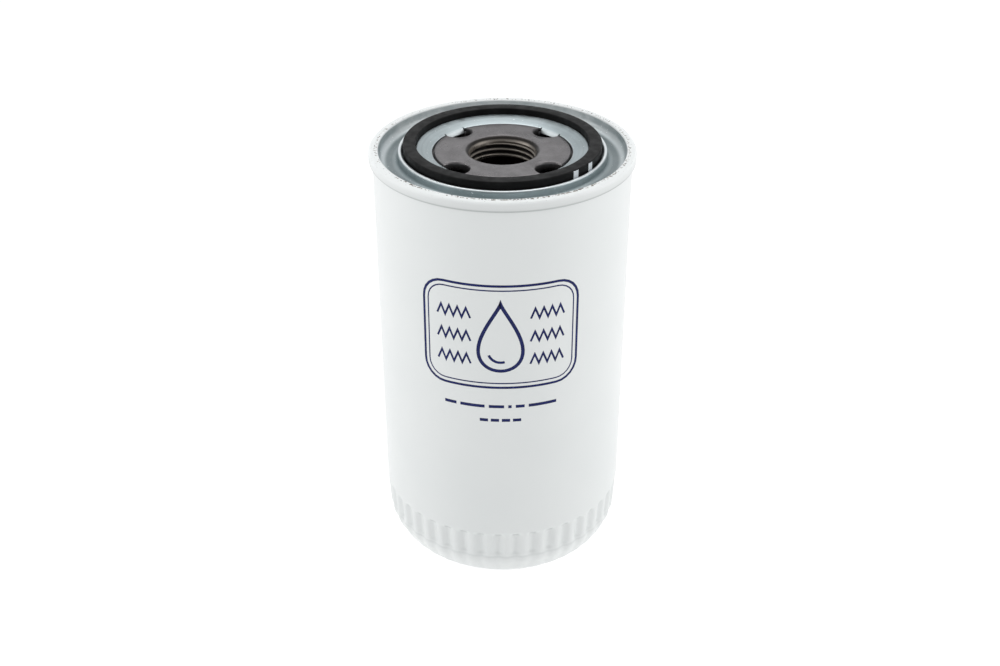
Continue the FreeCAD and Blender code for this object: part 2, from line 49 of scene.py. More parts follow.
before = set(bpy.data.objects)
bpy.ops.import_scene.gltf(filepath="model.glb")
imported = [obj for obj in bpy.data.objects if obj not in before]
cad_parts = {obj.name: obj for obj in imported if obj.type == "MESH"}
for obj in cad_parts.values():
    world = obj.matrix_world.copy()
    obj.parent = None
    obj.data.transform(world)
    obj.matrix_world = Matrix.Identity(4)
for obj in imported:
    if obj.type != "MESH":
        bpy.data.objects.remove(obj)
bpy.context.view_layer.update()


def extent(node):
    """Outer radius, lowest height and highest height of a CAD node, in millimetres."""
    low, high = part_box(node)
    return high.x / MM, low.z / MM, high.z / MM


# canister
SEAM_RADIUS, FOOT, SEAM_TOP = extent("canister")
SEAM_OVERHANG, SEAM_HEIGHT = 1.4, 3.7
SEAM_FOOT = SEAM_TOP - SEAM_HEIGHT
CAN_RADIUS, CAN_WALL = SEAM_RADIUS - SEAM_OVERHANG, 0.6
SEAM_INNER = 44.4
FOOT_INNER, FOOT_OUTER = 18.0, 20.4
DISH_RADIUS, DISH_HEIGHT = 12.0, 3.0
SHOULDER_RADIUS, SHOULDER_HEIGHT = CAN_RADIUS - 0.9, 14.0
CREASE_HEIGHT, CREASE_DEPTH, CREASE_HALF = 16.6, 0.16, 0.7
TAPER_TOP = 29.0
FLUTE_COUNT, FLUTE_DEPTH = 43, 1.25
FLUTE_TOP, FLUTE_FULL, FLUTE_FOOT = 29.0, 26.9, 3.0
FLUTE_BELOW_CREASE = 0.5
# lid
LID_WALL, LID_INNER, LID_INNER_HEIGHT = 0.8, 25.2, 166.0
PLATEAU_HEIGHT = SEAM_TOP - 0.3
GROOVE_INNER, GROOVE_OUTER, GROOVE_FLOOR = 31.0, 35.9, 164.5
LIP_WIDTH, LIP_TOP, TROUGH_FLOOR = 1.6, 167.2, 163.5
TAB_HALF, TAB_NOTCH, NOTCH_RADIUS = math.radians(9.6), math.radians(1.2), 25.8
TAB_REACH, TAB_DROP = 1.05, 1.6
TAB_COUNT = 4
HOOK_RADIUS, HOOK_FOOT = 47.2, SEAM_FOOT + 0.7
# base plate
PLATE_EDGE, COLLAR_FOOT, PLATE_TOP = extent("threaded_base_plate")
PLATE_WALL, LEDGE_TOP, COLLAR_RADIUS = 3.0, 165.2, 17.0
UNDER_SLOPE_INNER, UNDER_SLOPE_OUTER = 24.0, 25.4
UNDER_STEP_INNER, UNDER_STEP_OUTER = 29.4, 32.0
STEP_FOOT_RADIUS, STEP_TOP_RADIUS, TOP_EDGE_RADIUS = 24.7, 24.35, 23.2
UNDER_LID_GAP = 0.02
INLET_RADIUS, INLET_CIRCLE, INLET_COUNT = 5.2, 23.4, 4
THREAD_MINOR, THREAD_MAJOR, THREAD_PITCH, MOUTH_ROUND = 11.65, 12.7, 2.117, 2.6
THREAD_ROW, SAME_RADIUS = 0.07, 0.01
# gasket
GASKET_OUTER, GASKET_FOOT, GASKET_TOP = extent("sealing_gasket")
GASKET_INNER = 31.0
PAINT_MARK_ANGLES = ((-47.1, -43.2), (-33.6, -29.4))
PAINT_FOOT, PAINT_TOP = 165.6, GASKET_TOP - 0.32
PAINT_LIFT, PAINT_ROOT = 0.03, 0.05
PAINT_COLUMNS, PAINT_ROWS = 14, 4

ROUND_STEPS = 6


# ---------------------------------------------------------------- mesh helpers

def rounded(corners):
    """Closed outline through (radius, height) corners; a third entry rounds that corner."""
    points = []
    for index, corner in enumerate(corners):
        here = Vector(corner[:2])
        if len(corner) == 2:
            points.append(here)
            continue
        before = (Vector(corners[index - 1][:2]) - here).normalized()
        after = (Vector(corners[(index + 1) % len(corners)][:2]) - here).normalized()
        half = before.angle(after) / 2
        centre = here + (before + after).normalized() * (corner[2] / math.sin(half))
        start = here + before * (corner[2] / math.tan(half)) - centre
        end = here + after * (corner[2] / math.tan(half)) - centre
        turn = math.atan2(start.x * end.y - start.y * end.x, start.dot(end))
        for step in range(ROUND_STEPS + 1):
            angle = turn * step / ROUND_STEPS
            offset = (start.x * math.cos(angle) - start.y * math.sin(angle),
                      start.x * math.sin(angle) + start.y * math.cos(angle))
            points.append(centre + Vector(offset))
    return points


def refine(outline, low, high, step):
    """Splits the edges of an outline between two heights so that none is longer than step."""
    points = []
    for index, here in enumerate(outline):
        after = outline[(index + 1) % len(outline)]
        points.append(here)
        if min(here.y, after.y) > high or max(here.y, after.y) < low:
            continue
        pieces = max(1, math.ceil((after - here).length / step))
        points.extend(here.lerp(after, piece / pieces) for piece in range(1, pieces))
    return points


def smooth_step(low, high, value):
    """0 at low and 1 at high, with no kink at either; low may be the larger."""
    share = min(max((value - low) / (high - low), 0.0), 1.0)
    return share * share * (3 - 2 * share)


def polar(radius, angle, height):
    """Point in metres from millimetres and an angle round the axis."""
    return Vector((radius * math.cos(angle), radius * math.sin(angle), height)) * MM


def make_object(name, bm, sharp=32):
    """Turns a bmesh into a shaded object whose edges stay crisp past the given angle, in degrees."""
    bmesh.ops.remove_doubles(bm, verts=bm.verts, dist=2e-7)
    bmesh.ops.recalc_face_normals(bm, faces=bm.faces)
    for face in bm.faces:
        face.smooth = True
    for edge in bm.edges:
        edge.smooth = edge.calc_face_angle(0) < math.radians(sharp)
    mesh = bpy.data.meshes.new(name)
    bm.to_mesh(mesh)
    bm.free()
    thing = bpy.data.objects.new(name, mesh)
    bpy.context.scene.collection.objects.link(thing)
    return thing


def sweep_outline(bm, outline, angles, shape=None, closed=True):
    """Carries a closed (radius, height) outline through the angles, about the Z axis."""
    rings = []
    for angle in angles:
        places = [shape(point.x, point.y, angle) if shape else (point.x, point.y) for point in outline]
        rings.append([bm.verts.new(polar(radius, angle, height)) for radius, height in places])
    last = len(rings) if closed else len(rings) - 1
    for index in range(last):
        ring, following = rings[index], rings[(index + 1) % len(rings)]
        for side in range(len(outline)):
            after = (side + 1) % len(outline)
            bm.faces.new((ring[side], following[side], following[after], ring[after]))
    if not closed:
        bm.faces.new(rings[0])
        bm.faces.new(rings[-1])


def lathe(name, outline, turns=256, shape=None, sharp=32):
    """Object made by turning a closed (radius, height) outline once round the axis."""
    bm = bmesh.new()
    sweep_outline(bm, outline, [2 * math.pi * step / turns for step in range(turns)], shape)
    return make_object(name, bm, sharp)


def finish_piece(piece, body, slot, material, *nodes):
    """Gives a piece its material and its body (None if it is blended), and hides the CAD nodes it
    replaces; slot is not used.
    """
    piece.data.materials.clear()
    piece.data.materials.append(material)
    if nodes:
        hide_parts(*nodes)
    if body:
        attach(piece, body)
    return piece


# ---------------------------------------------------------------- material helpers

class Shader:
    """A procedural material: one Principled shader fed by noise in the piece's own coordinates."""

    def __init__(self, name, roughness, metallic=0.0, coat=0.0):
        self.material = bpy.data.materials.new(name)
        self.material.use_nodes = True
        self.tree = self.material.node_tree
        self.base = self.tree.nodes["Principled BSDF"]
        self.base.inputs["Roughness"].default_value = roughness
        self.base.inputs["Metallic"].default_value = metallic
        self.base.inputs["Coat Weight"].default_value = coat
        self.place = self.tree.nodes.new("ShaderNodeTexCoord").outputs["Object"]
        self.normal = None

    def link(self, source, target):
        self.tree.links.new(source, target)

    def stretched(self, across, along):
        """Coordinates scaled by different amounts round the filter and up it."""
        mapping = self.tree.nodes.new("ShaderNodeMapping")
        mapping.inputs["Scale"].default_value = (across, across, along)
        self.link(self.place, mapping.inputs["Vector"])
        return mapping.outputs["Vector"]

    def noise(self, scale, detail=3.0, place=None, rough=0.5):
        """Noise whose grain is about 1/scale metres."""
        node = self.tree.nodes.new("ShaderNodeTexNoise")
        node.inputs["Scale"].default_value = scale
        node.inputs["Detail"].default_value = detail
        node.inputs["Roughness"].default_value = rough
        self.link(place or self.place, node.inputs["Vector"])
        return node.outputs["Fac"]

    def span(self, value, low, high, to_low=0.0, to_high=1.0):
        """Maps low..high to to_low..to_high, smoothly and clamped."""
        node = self.tree.nodes.new("ShaderNodeMapRange")
        node.interpolation_type = "SMOOTHSTEP"
        limits = {"From Min": low, "From Max": high, "To Min": to_low, "To Max": to_high}
        for name, number in limits.items():
            node.inputs[name].default_value = number
        self.link(value, node.inputs["Value"])
        return node.outputs["Result"]

    def maths(self, operation, first, second=0.0):
        """Result of a Math node; each operand is a socket or a number."""
        node = self.tree.nodes.new("ShaderNodeMath")
        node.operation = operation
        for socket, value in zip(node.inputs, (first, second)):
            if isinstance(value, (int, float)):
                socket.default_value = value
            else:
                self.link(value, socket)
        return node.outputs["Value"]

    def times(self, first, second):
        """Product of two sockets or numbers."""
        return self.maths("MULTIPLY", first, second)

    def away(self, value, middle):
        """Distance of a value from a number, never negative."""
        return self.maths("ABSOLUTE", self.maths("SUBTRACT", value, middle))

    def split(self):
        """The piece's own X, Y and Z, in metres."""
        node = self.tree.nodes.new("ShaderNodeSeparateXYZ")
        self.link(self.place, node.inputs["Vector"])
        return node.outputs

    def radius_and_height(self):
        """Distance from the filter's axis and height above its foot, in metres."""
        place = self.split()
        squares = [self.maths("POWER", place[axis], 2.0) for axis in ("X", "Y")]
        return self.maths("SQRT", self.maths("ADD", *squares)), place["Z"]

    def angle(self):
        """Angle round the filter's axis, in radians."""
        place = self.split()
        return self.maths("ARCTAN2", place["Y"], place["X"])

    def rings(self, scale):
        """Noise that runs in rings round the axis, like the marks that a press tool leaves."""
        radius, height = self.radius_and_height()
        join = self.tree.nodes.new("ShaderNodeCombineXYZ")
        self.link(radius, join.inputs["X"])
        self.link(height, join.inputs["Z"])
        return self.noise(scale, 3, place=join.outputs["Vector"])

    def band(self, length, middle, half):
        """1 where a height or radius is at middle, falling smoothly to 0 at half either side."""
        return self.span(self.away(length, middle * MM), 0.0, half * MM, 1.0, 0.0)

    def mix(self, share, first, second):
        """Colour mix; each colour is a socket or an (r, g, b) tuple."""
        node = self.tree.nodes.new("ShaderNodeMix")
        node.data_type = "RGBA"
        self.link(share, node.inputs["Factor"])
        for socket, colour in ((node.inputs[6], first), (node.inputs[7], second)):
            if isinstance(colour, tuple):
                socket.default_value = (*colour, 1.0)
            else:
                self.link(colour, socket)
        return node.outputs[2]

    def colour(self, socket):
        self.link(socket, self.base.inputs["Base Color"])

    def roughness(self, socket):
        self.link(socket, self.base.inputs["Roughness"])

    def bump(self, height, distance, strength=1.0):
        """Adds relief of the given depth in metres, on top of any relief so far."""
        node = self.tree.nodes.new("ShaderNodeBump")
        node.inputs["Distance"].default_value = distance
        node.inputs["Strength"].default_value = strength
        self.link(height, node.inputs["Height"])
        if self.normal:
            self.link(self.normal, node.inputs["Normal"])
        self.normal = node.outputs["Normal"]
        self.link(self.normal, self.base.inputs["Normal"])


def enamel_paint():
    """White satin enamel: chips down to brown primer on the rim; painted shade under the seam, on the
    seam band's lower half, along the crease and at the tops of the flutes, and a painted highlight on the
    rim's top.
    """
    shader = Shader("white_enamel", roughness=0.32, coat=0.06)
    shader.base.inputs["Coat Roughness"].default_value = 0.15
    shader.base.inputs["Specular IOR Level"].default_value = 0.4
    radius, height = shader.radius_and_height()
    broad = shader.span(shader.noise(26, 3), 0.35, 0.65)
    white = shader.mix(broad, (0.735, 0.757, 0.752), (0.75, 0.77, 0.764))
    flute = shader.maths("COSINE", shader.times(shader.angle(), FLUTE_COUNT))
    in_flute = shader.span(flute, -0.1, 0.9)
    flute_end = shader.band(height, FLUTE_TOP - 1.2, 1.3)
    # Painted shade, mixed towards grey: a dark line in the crevice under the seam, the lower half of the
    # seam band, a line along the crease and the tops of the flutes.
    painted_shade_bands = (
        (shader.band(height, SEAM_FOOT + 0.1, 0.9), 0.9),
        (shader.band(height, SEAM_FOOT + 0.6, 2.0), 0.16),
        (shader.band(height, CREASE_HEIGHT, 0.9), 0.13),
        (shader.times(in_flute, flute_end), 0.42),
    )
    for mask, depth in painted_shade_bands:
        white = shader.mix(shader.times(mask, depth), white, (0.30, 0.32, 0.32))
    # Painted highlight: the rim's top face is lightened where the light from above falls.
    rim_top_highlight = shader.span(height, (SEAM_TOP - 1.5) * MM, (SEAM_TOP - 0.3) * MM)
    white = shader.mix(rim_top_highlight, white, (0.87, 0.89, 0.885))
    rim = (SEAM_INNER + 1.0) * MM
    off_edge = shader.away(radius, rim)
    edge = shader.span(off_edge, 0.2 * MM, 0.85 * MM, 1.0, 0.0)
    near_top = shader.span(height, (SEAM_TOP - 0.9) * MM, (SEAM_TOP - 0.3) * MM)
    from_front = shader.away(shader.angle(), -math.pi / 2)
    most_worn = shader.span(from_front, 0.3, 1.4, 1.0, 0.6)
    cluster = shader.times(shader.span(shader.noise(55, 2), 0.35, 0.55, 0.5, 1.0), most_worn)
    grain = shader.noise(1150, 3, rough=0.7)
    chance = shader.times(shader.times(edge, near_top), cluster)
    chips = shader.span(shader.maths("ADD", grain, shader.times(chance, 0.21)), 0.685, 0.70)
    chips = shader.times(chips, near_top)
    rust = shader.span(shader.noise(900, 2), 0.4, 0.6)
    bare = shader.mix(rust, (0.07, 0.045, 0.03), (0.34, 0.32, 0.28))
    shader.colour(shader.mix(chips, white, bare))
    patchy = shader.span(shader.noise(40, 3), 0.3, 0.7, 0.29, 0.34)
    shader.roughness(shader.maths("ADD", patchy, shader.times(chips, 0.3)))
    shader.bump(shader.noise(900, 2), 0.00001, 0.25)
    shader.bump(shader.maths("SUBTRACT", 1.0, chips), 0.00006)
    return shader.material


def zinc_plate():
    """Zinc-plated sheet: pale blue-grey, cloudy, with drawn streaks, specks and a mist of white paint by
    the rim; painted highlights on the top of the lip, the tabs, the trough's outer part and the rear
    wall, and painted shade in the trough.
    """
    shader = Shader("zinc_plated_sheet", roughness=0.34, metallic=0.85)
    radius, height = shader.radius_and_height()
    cloud = shader.span(shader.noise(60, 5, rough=0.6), 0.3, 0.7)
    streak = shader.span(shader.noise(14, 4, place=shader.stretched(1.0, 42.0)), 0.35, 0.65)
    tone = shader.mix(cloud, (0.33, 0.385, 0.40), (0.44, 0.50, 0.52))
    tone = shader.mix(shader.times(streak, 0.4), tone, (0.55, 0.61, 0.62))
    drawn = shader.span(shader.rings(850), 0.35, 0.65)
    tone = shader.mix(shader.times(drawn, 0.28), tone, (0.24, 0.28, 0.29))
    # Painted highlight along the top of the lip round the gasket.
    lip = shader.band(radius, GROOVE_OUTER + LIP_WIDTH / 2 + 0.1, 1.0)
    crest_highlight = shader.times(lip, shader.span(height, (LIP_TOP - 0.5) * MM, (LIP_TOP - 0.1) * MM))
    tone = shader.mix(crest_highlight, tone, (0.86, 0.90, 0.91))
    # Painted highlight on the tabs and the lid's inner edge.
    tab = shader.span(radius, (LID_INNER - 0.2) * MM, (LID_INNER + 0.4) * MM, 1.0, 0.0)
    tone = shader.mix(tab, tone, (0.60, 0.645, 0.655))
    # Painted shade in the trough between the lip and the rim's wall.
    trough = shader.band(radius, (GROOVE_OUTER + SEAM_INNER) / 2 + 0.4, 3.6)
    tone = shader.mix(shader.times(trough, 0.72), tone, (0.17, 0.20, 0.205))
    # Painted highlight on the trough's outer part, where it rises to the rim's wall.
    trough_wall_highlight = shader.band(radius, SEAM_INNER - 1.7, 1.5)
    tone = shader.mix(shader.times(trough_wall_highlight, 0.6), tone, (0.66, 0.71, 0.72))
    # A mist of white paint on the wall under the rim, with a painted highlight: it is made heaviest on
    # the rear wall, which faces the light from the front, and thins out towards the sides. The same mask
    # lowers the metallic there.
    outer_wall = shader.span(radius, (SEAM_INNER - 2.6) * MM, (SEAM_INNER - 0.2) * MM)
    mist = shader.span(shader.noise(240, 4), 0.3, 0.7, 0.65, 1.0)
    from_back = shader.away(shader.angle(), math.pi / 2)
    back_wall_light = shader.span(from_back, 0.5, 1.5, 1.0, 0.3)
    overspray_and_highlight = shader.times(shader.times(outer_wall, mist), back_wall_light)
    tone = shader.mix(overspray_and_highlight, tone, (0.84, 0.865, 0.86))
    by_rim = shader.times(outer_wall, 0.03)
    dots = shader.span(shader.maths("ADD", shader.noise(1400, 2), by_rim), 0.70, 0.74)
    shader.colour(shader.mix(dots, tone, (0.88, 0.90, 0.90)))
    shader.link(shader.span(overspray_and_highlight, 0.0, 0.9, 0.88, 0.1), shader.base.inputs["Metallic"])
    shader.roughness(shader.span(shader.noise(240, 4), 0.3, 0.7, 0.28, 0.44))
    shader.bump(shader.noise(520, 4), 0.00002, 0.5)
    shader.bump(drawn, 0.00001, 0.5)
    return shader.material


def phosphated_steel():
    """Dark phosphated plate, oily in places; the thread has a brownish painted highlight on its crests
    and near-black painted shade in its roots.
    """
    shader = Shader("phosphated_steel", roughness=0.34, metallic=0.75)
    radius, height = shader.radius_and_height()
    cloud = shader.span(shader.noise(120, 5, rough=0.62), 0.32, 0.68)
    tone = shader.mix(cloud, (0.135, 0.128, 0.131), (0.20, 0.19, 0.194))
    grain = shader.span(shader.noise(1700, 3), 0.35, 0.7)
    tone = shader.mix(shader.times(grain, 0.3), tone, (0.29, 0.275, 0.275))
    in_bore = shader.span(radius, (THREAD_MAJOR + 0.1) * MM, (THREAD_MAJOR + 0.9) * MM, 1.0, 0.0)
    # Painted light in the bore: the thread's crests are lightened as a highlight and its roots darkened
    # as shade.
    crest_highlight = shader.span(radius, THREAD_MINOR * MM, (THREAD_MAJOR - 0.35) * MM, 1.0, 0.0)
    thread = shader.mix(crest_highlight, (0.02, 0.017, 0.015), (0.36, 0.325, 0.285))
    shader.colour(shader.mix(in_bore, tone, thread))
    shader.roughness(shader.span(shader.noise(210, 4), 0.3, 0.7, 0.26, 0.44))
    shader.bump(shader.noise(1300, 3), 0.00002, 0.5)
    return shader.material


def rubber(name, dark, light, roughness, grain):
    """Moulded rubber: near black, dusty in places, with a fine mould texture."""
    shader = Shader(name, roughness=roughness)
    shader.base.inputs["Specular IOR Level"].default_value = 0.15
    dust = shader.span(shader.noise(190, 5, rough=0.65), 0.42, 0.75)
    shader.colour(shader.mix(dust, dark, light))
    shader.roughness(shader.span(shader.noise(330, 3), 0.3, 0.7, roughness - 0.07, roughness + 0.09))
    shader.bump(shader.noise(grain, 3), 0.00003, 0.5)
    return shader.material


def plain_steel(name, dark, light, roughness, streaks=30.0):
    """Bare or tinned steel with rolling streaks and uneven sheen."""
    shader = Shader(name, roughness=roughness, metallic=0.95)
    streak = shader.noise(20, 5, place=shader.stretched(1.0, streaks))
    shader.colour(shader.mix(shader.span(streak, 0.35, 0.65), dark, light))
    shader.roughness(shader.span(shader.noise(300, 4), 0.3, 0.7, roughness - 0.08, roughness + 0.1))
    shader.bump(shader.noise(900, 3), 0.00001, 0.5)
    return shader.material


def filter_paper():
    """Resin-treated filter paper: fibres, and a darker amber where the resin pooled."""
    shader = Shader("filter_paper", roughness=0.85)
    fibre = shader.noise(1100, 6, place=shader.stretched(1.0, 0.25), rough=0.7)
    paper = shader.mix(shader.span(fibre, 0.3, 0.7), (0.62, 0.45, 0.20), (0.80, 0.66, 0.38))
    pooled = shader.span(shader.noise(85, 4), 0.5, 0.75)
    shader.colour(shader.mix(shader.times(pooled, 0.5), paper, (0.45, 0.27, 0.09)))
    shader.bump(fibre, 0.00008, 0.7)
    return shader.material


def matt_compound(name, dark, light):
    """Cured adhesive or lining compound: matt, slightly lumpy, with small pits."""
    shader = Shader(name, roughness=0.62)
    shader.colour(shader.mix(shader.span(shader.noise(140, 5), 0.3, 0.7), dark, light))
    pits = shader.span(shader.noise(700, 3), 0.62, 0.7, 1.0, 0.0)
    shader.bump(pits, 0.00008, 0.6)
    shader.roughness(shader.span(shader.noise(260, 3), 0.3, 0.7, 0.5, 0.72))
    return shader.material


def printed_ink(name, dark, light, gaps=0.78):
    """Screen-printed ink: nearly even, with pinholes where the paint below shows."""
    shader = Shader(name, roughness=0.4)
    shader.base.inputs["Specular IOR Level"].default_value = 0.2
    tone = shader.mix(shader.span(shader.noise(300, 3), 0.3, 0.7), dark, light)
    pinholes = shader.span(shader.noise(2600, 2), gaps, gaps + 0.04)
    shader.colour(shader.mix(pinholes, tone, (0.74, 0.75, 0.76)))
    shader.roughness(shader.span(shader.noise(500, 3), 0.3, 0.7, 0.33, 0.47))
    shader.bump(shader.noise(1500, 2), 0.00001, 0.4)
    return shader.material


# ---------------------------------------------------------------- canister

def flute_fade(height):
    """Share of the full flute depth: 1 above the crease, half just below it, 0 at the foot."""
    if height > FLUTE_FULL:
        return smooth_step(FLUTE_TOP, FLUTE_FULL, height)
    below = FLUTE_BELOW_CREASE * smooth_step(FLUTE_FOOT, CREASE_HEIGHT - 1.0, height)
    above = (1 - FLUTE_BELOW_CREASE) * smooth_step(CREASE_HEIGHT + 0.3, CREASE_HEIGHT + 2.0, height)
    return below + above


def flute_shape(radius, height, angle):
    """Presses the grip flutes and the rolled crease into the lower wall."""
    wave = (0.5 + 0.5 * math.cos(FLUTE_COUNT * angle)) ** 1.25
    crease = max(0.0, 1 - abs(height - CREASE_HEIGHT) / CREASE_HALF) * CREASE_DEPTH
    on_wall = smooth_step(30.0, 36.0, radius)
    return radius - (FLUTE_DEPTH * flute_fade(height) * wave + crease) * on_wall, height


def make_can(paint):
    """Canister shell, outside and inside, with the rolled rim and the open pocket under it."""
    wall = CAN_WALL
    outline = rounded([
        (0.0, DISH_HEIGHT),
        (DISH_RADIUS, DISH_HEIGHT, 2.0),
        (FOOT_INNER, FOOT, 1.0),
        (FOOT_OUTER, FOOT, 6.0),
        (SHOULDER_RADIUS - 4.3, FOOT + 5.3, 11.0),
        (SHOULDER_RADIUS, SHOULDER_HEIGHT, 7.5),
        (SHOULDER_RADIUS + 0.2, CREASE_HEIGHT),
        (CAN_RADIUS, TAPER_TOP, 20.0),
        (CAN_RADIUS, SEAM_FOOT + 0.55, 0.15),
        (CAN_RADIUS + 0.45, SEAM_FOOT, 0.3),
        (SEAM_RADIUS, SEAM_FOOT, 0.6),
        (SEAM_RADIUS, SEAM_TOP, 1.45),
        (SEAM_INNER, SEAM_TOP, 0.6),
        (SEAM_INNER, SEAM_TOP - wall, 0.1),
        (SEAM_RADIUS - wall, SEAM_TOP - wall, 0.9),
        (SEAM_RADIUS - wall, SEAM_FOOT + 2 * wall),
        (CAN_RADIUS - wall, SEAM_FOOT + 2 * wall),
        (CAN_RADIUS - wall, TAPER_TOP, 20.0),
        (SHOULDER_RADIUS + 0.2 - wall, CREASE_HEIGHT),
        (SHOULDER_RADIUS - wall, SHOULDER_HEIGHT, 7.0),
        (SHOULDER_RADIUS - 4.6, FOOT + 5.9, 10.5),
        (FOOT_OUTER, FOOT + wall, 5.5),
        (FOOT_INNER + 0.3, FOOT + wall, 0.5),
        (DISH_RADIUS + 0.3, DISH_HEIGHT + wall, 1.5),
        (0.0, DISH_HEIGHT + wall),
    ])
    outline = refine(outline, FLUTE_FOOT, TAPER_TOP + 0.5, 0.45)
    can = lathe("can_shell", outline, turns=FLUTE_COUNT * 14, shape=flute_shape, sharp=50)
    return finish_piece(can, "housing", "white_paint", paint, "canister")


# ---------------------------------------------------------------- printed mark

MARK_ANGLE = math.radians(-90.9)
MARK_WIDTH, MARK_HEIGHT, MARK_CENTRE = 57.0, 41.0, SEAM_TOP - 52.4
INK = 0.02
FINE = 1.0


def on_can(across, up, lift):
    """Point on the wall, across millimetres to the right of the mark's middle."""
    return polar(CAN_RADIUS + lift, MARK_ANGLE + across / CAN_RADIUS, up)


def close_skin(bm, top, under, wraps=False):
    """Joins two equal grids of corners into a closed skin; wraps joins the last row to the first."""
    rows, columns = len(top), len(top[0])
    for row in range(rows if wraps else rows - 1):
        after = (row + 1) % rows
        for sheet in (top, under):
            for column in range(columns - 1):
                bm.faces.new((sheet[row][column], sheet[row][column + 1],
                              sheet[after][column + 1], sheet[after][column]))
        for column in (0, columns - 1):
            bm.faces.new((top[row][column], top[after][column],
                          under[after][column], under[row][column]))
    if not wraps:
        for row in (0, rows - 1):
            for column in range(columns - 1):
                bm.faces.new((top[row][column], top[row][column + 1],
                              under[row][column + 1], under[row][column]))


def slab(bm, grid, wraps=False):
    """Closed thin skin over rows of (across, up) points, laid on the wall."""
    top, under = ([[bm.verts.new(on_can(*point, lift)) for point in row] for row in grid]
                  for lift in (INK, -INK))
    close_skin(bm, top, under, wraps)


def stroke(bm, points, width, wraps=False):
    """Line of even width through flat points, cut finely enough to follow the wall."""
    dense = []
    pairs = list(zip(points, points[1:] + points[:1])) if wraps else list(zip(points, points[1:]))
    for start, end in pairs:
        pieces = max(1, math.ceil((end - start).length / FINE))
        dense.extend(start.lerp(end, piece / pieces) for piece in range(pieces))
    if not wraps:
        dense.append(points[-1])
    grid = []
    for index, here in enumerate(dense):
        before = dense[index - 1] if wraps or index else here
        after = dense[(index + 1) % len(dense)] if wraps or index + 1 < len(dense) else here
        into = (here - before).normalized() if before != here else (after - here).normalized()
        out = (after - here).normalized() if after != here else into
        along = (into + out).normalized()
        side = Vector((-along.y, along.x)) * (width / 2 / max(0.35, along.dot(out)))
        grid.append([tuple(here - side), tuple(here + side)])
    slab(bm, grid, wraps)


def rounded_box(width, height, radius, middle):
    """Corners of a rounded rectangle, anticlockwise."""
    half_w, half_h = width / 2, height / 2
    corners = [(-half_w, -half_h, radius), (half_w, -half_h, radius),
               (half_w, half_h, radius), (-half_w, half_h, radius)]
    return [point + Vector((0, middle)) for point in rounded(corners)]


def drop_outline(width, height, middle, steps=48):
    """Teardrop with its point up."""
    points = []
    for step in range(steps):
        angle = 2 * math.pi * step / steps
        across = width * 0.65 * math.sin(angle) * abs(math.sin(angle / 2)) ** 1.4
        points.append(Vector((across, middle + height / 2 * math.cos(angle))))
    return points


def dashes(bm, lengths, gap, height, middle):
    """Row of plain rounded bars, centred, where small print would be."""
    total = sum(lengths) + gap * (len(lengths) - 1)
    left = -total / 2
    for length in lengths:
        pieces = max(2, math.ceil(length / FINE))
        grid = [[(left + length * piece / pieces, middle - height / 2),
                 (left + length * piece / pieces, middle + height / 2)] for piece in range(pieces + 1)]
        slab(bm, grid)
        left += length + gap


def make_printed_mark(ink):
    """Generic mark: an oil drop between rows of pleats in a rounded frame, with plain bars below."""
    bm = bmesh.new()
    stroke(bm, rounded_box(MARK_WIDTH, MARK_HEIGHT, 8.0, MARK_CENTRE), 0.95, wraps=True)
    stroke(bm, rounded_box(MARK_WIDTH - 3.6, MARK_HEIGHT - 3.6, 6.4, MARK_CENTRE), 0.5, wraps=True)
    stroke(bm, drop_outline(17.0, 27.0, MARK_CENTRE), 1.3, wraps=True)
    glint = [Vector((4.4 * math.cos(turn), MARK_CENTRE - 5.6 + 4.4 * math.sin(turn)))
             for turn in (math.radians(200 + 9 * step) for step in range(11))]
    stroke(bm, glint, 1.0)
    for side in (-1, 1):
        for row in (-1, 0, 1):
            pleats = []
            for fold in range(9):
                rise = 1.9 if fold % 2 else -1.9
                pleats.append(Vector((side * (10.6 + fold * 1.55), MARK_CENTRE + row * 9.2 + rise)))
            stroke(bm, pleats, 0.75)
    dashes(bm, (4.5, 9.0, 5.5, 1.2, 3.2, 10.5), 1.5, 1.25, SEAM_TOP - 81.0)
    dashes(bm, (3.0, 3.0, 3.0, 3.0), 1.0, 1.25, SEAM_TOP - 86.9)
    mark = make_object("printed_mark", bm)
    return finish_piece(mark, "housing", "white_paint", ink)


# ---------------------------------------------------------------- lid, seam and gasket

def cone_height(radius):
    """Top of the lid's sloping inner ring."""
    slope = (PLATEAU_HEIGHT - LID_INNER_HEIGHT) / (GROOVE_INNER - 0.5 - LID_INNER)
    return LID_INNER_HEIGHT + (radius - LID_INNER) * slope


def tab_distance(angle):
    """Angle from the middle of the nearest tab."""
    spacing = 2 * math.pi / TAB_COUNT
    return abs((angle % spacing) - spacing / 2)


def lid_shape(radius, height, angle):
    """Cuts the small relief notches at both ends of each tab into the inner edge."""
    away = tab_distance(angle)
    if radius < NOTCH_RADIUS and TAB_HALF < away < TAB_HALF + TAB_NOTCH:
        return NOTCH_RADIUS, height + cone_height(NOTCH_RADIUS) - cone_height(radius)
    return radius, height


def tab_shape(radius, height, angle):
    """Makes a tab's lower edge run straight across instead of round the axis."""
    bent = min(max((LID_INNER - radius) / TAB_REACH, 0.0), 1.0)
    return radius + bent * radius * (1 / math.cos(tab_distance(angle)) - 1), height


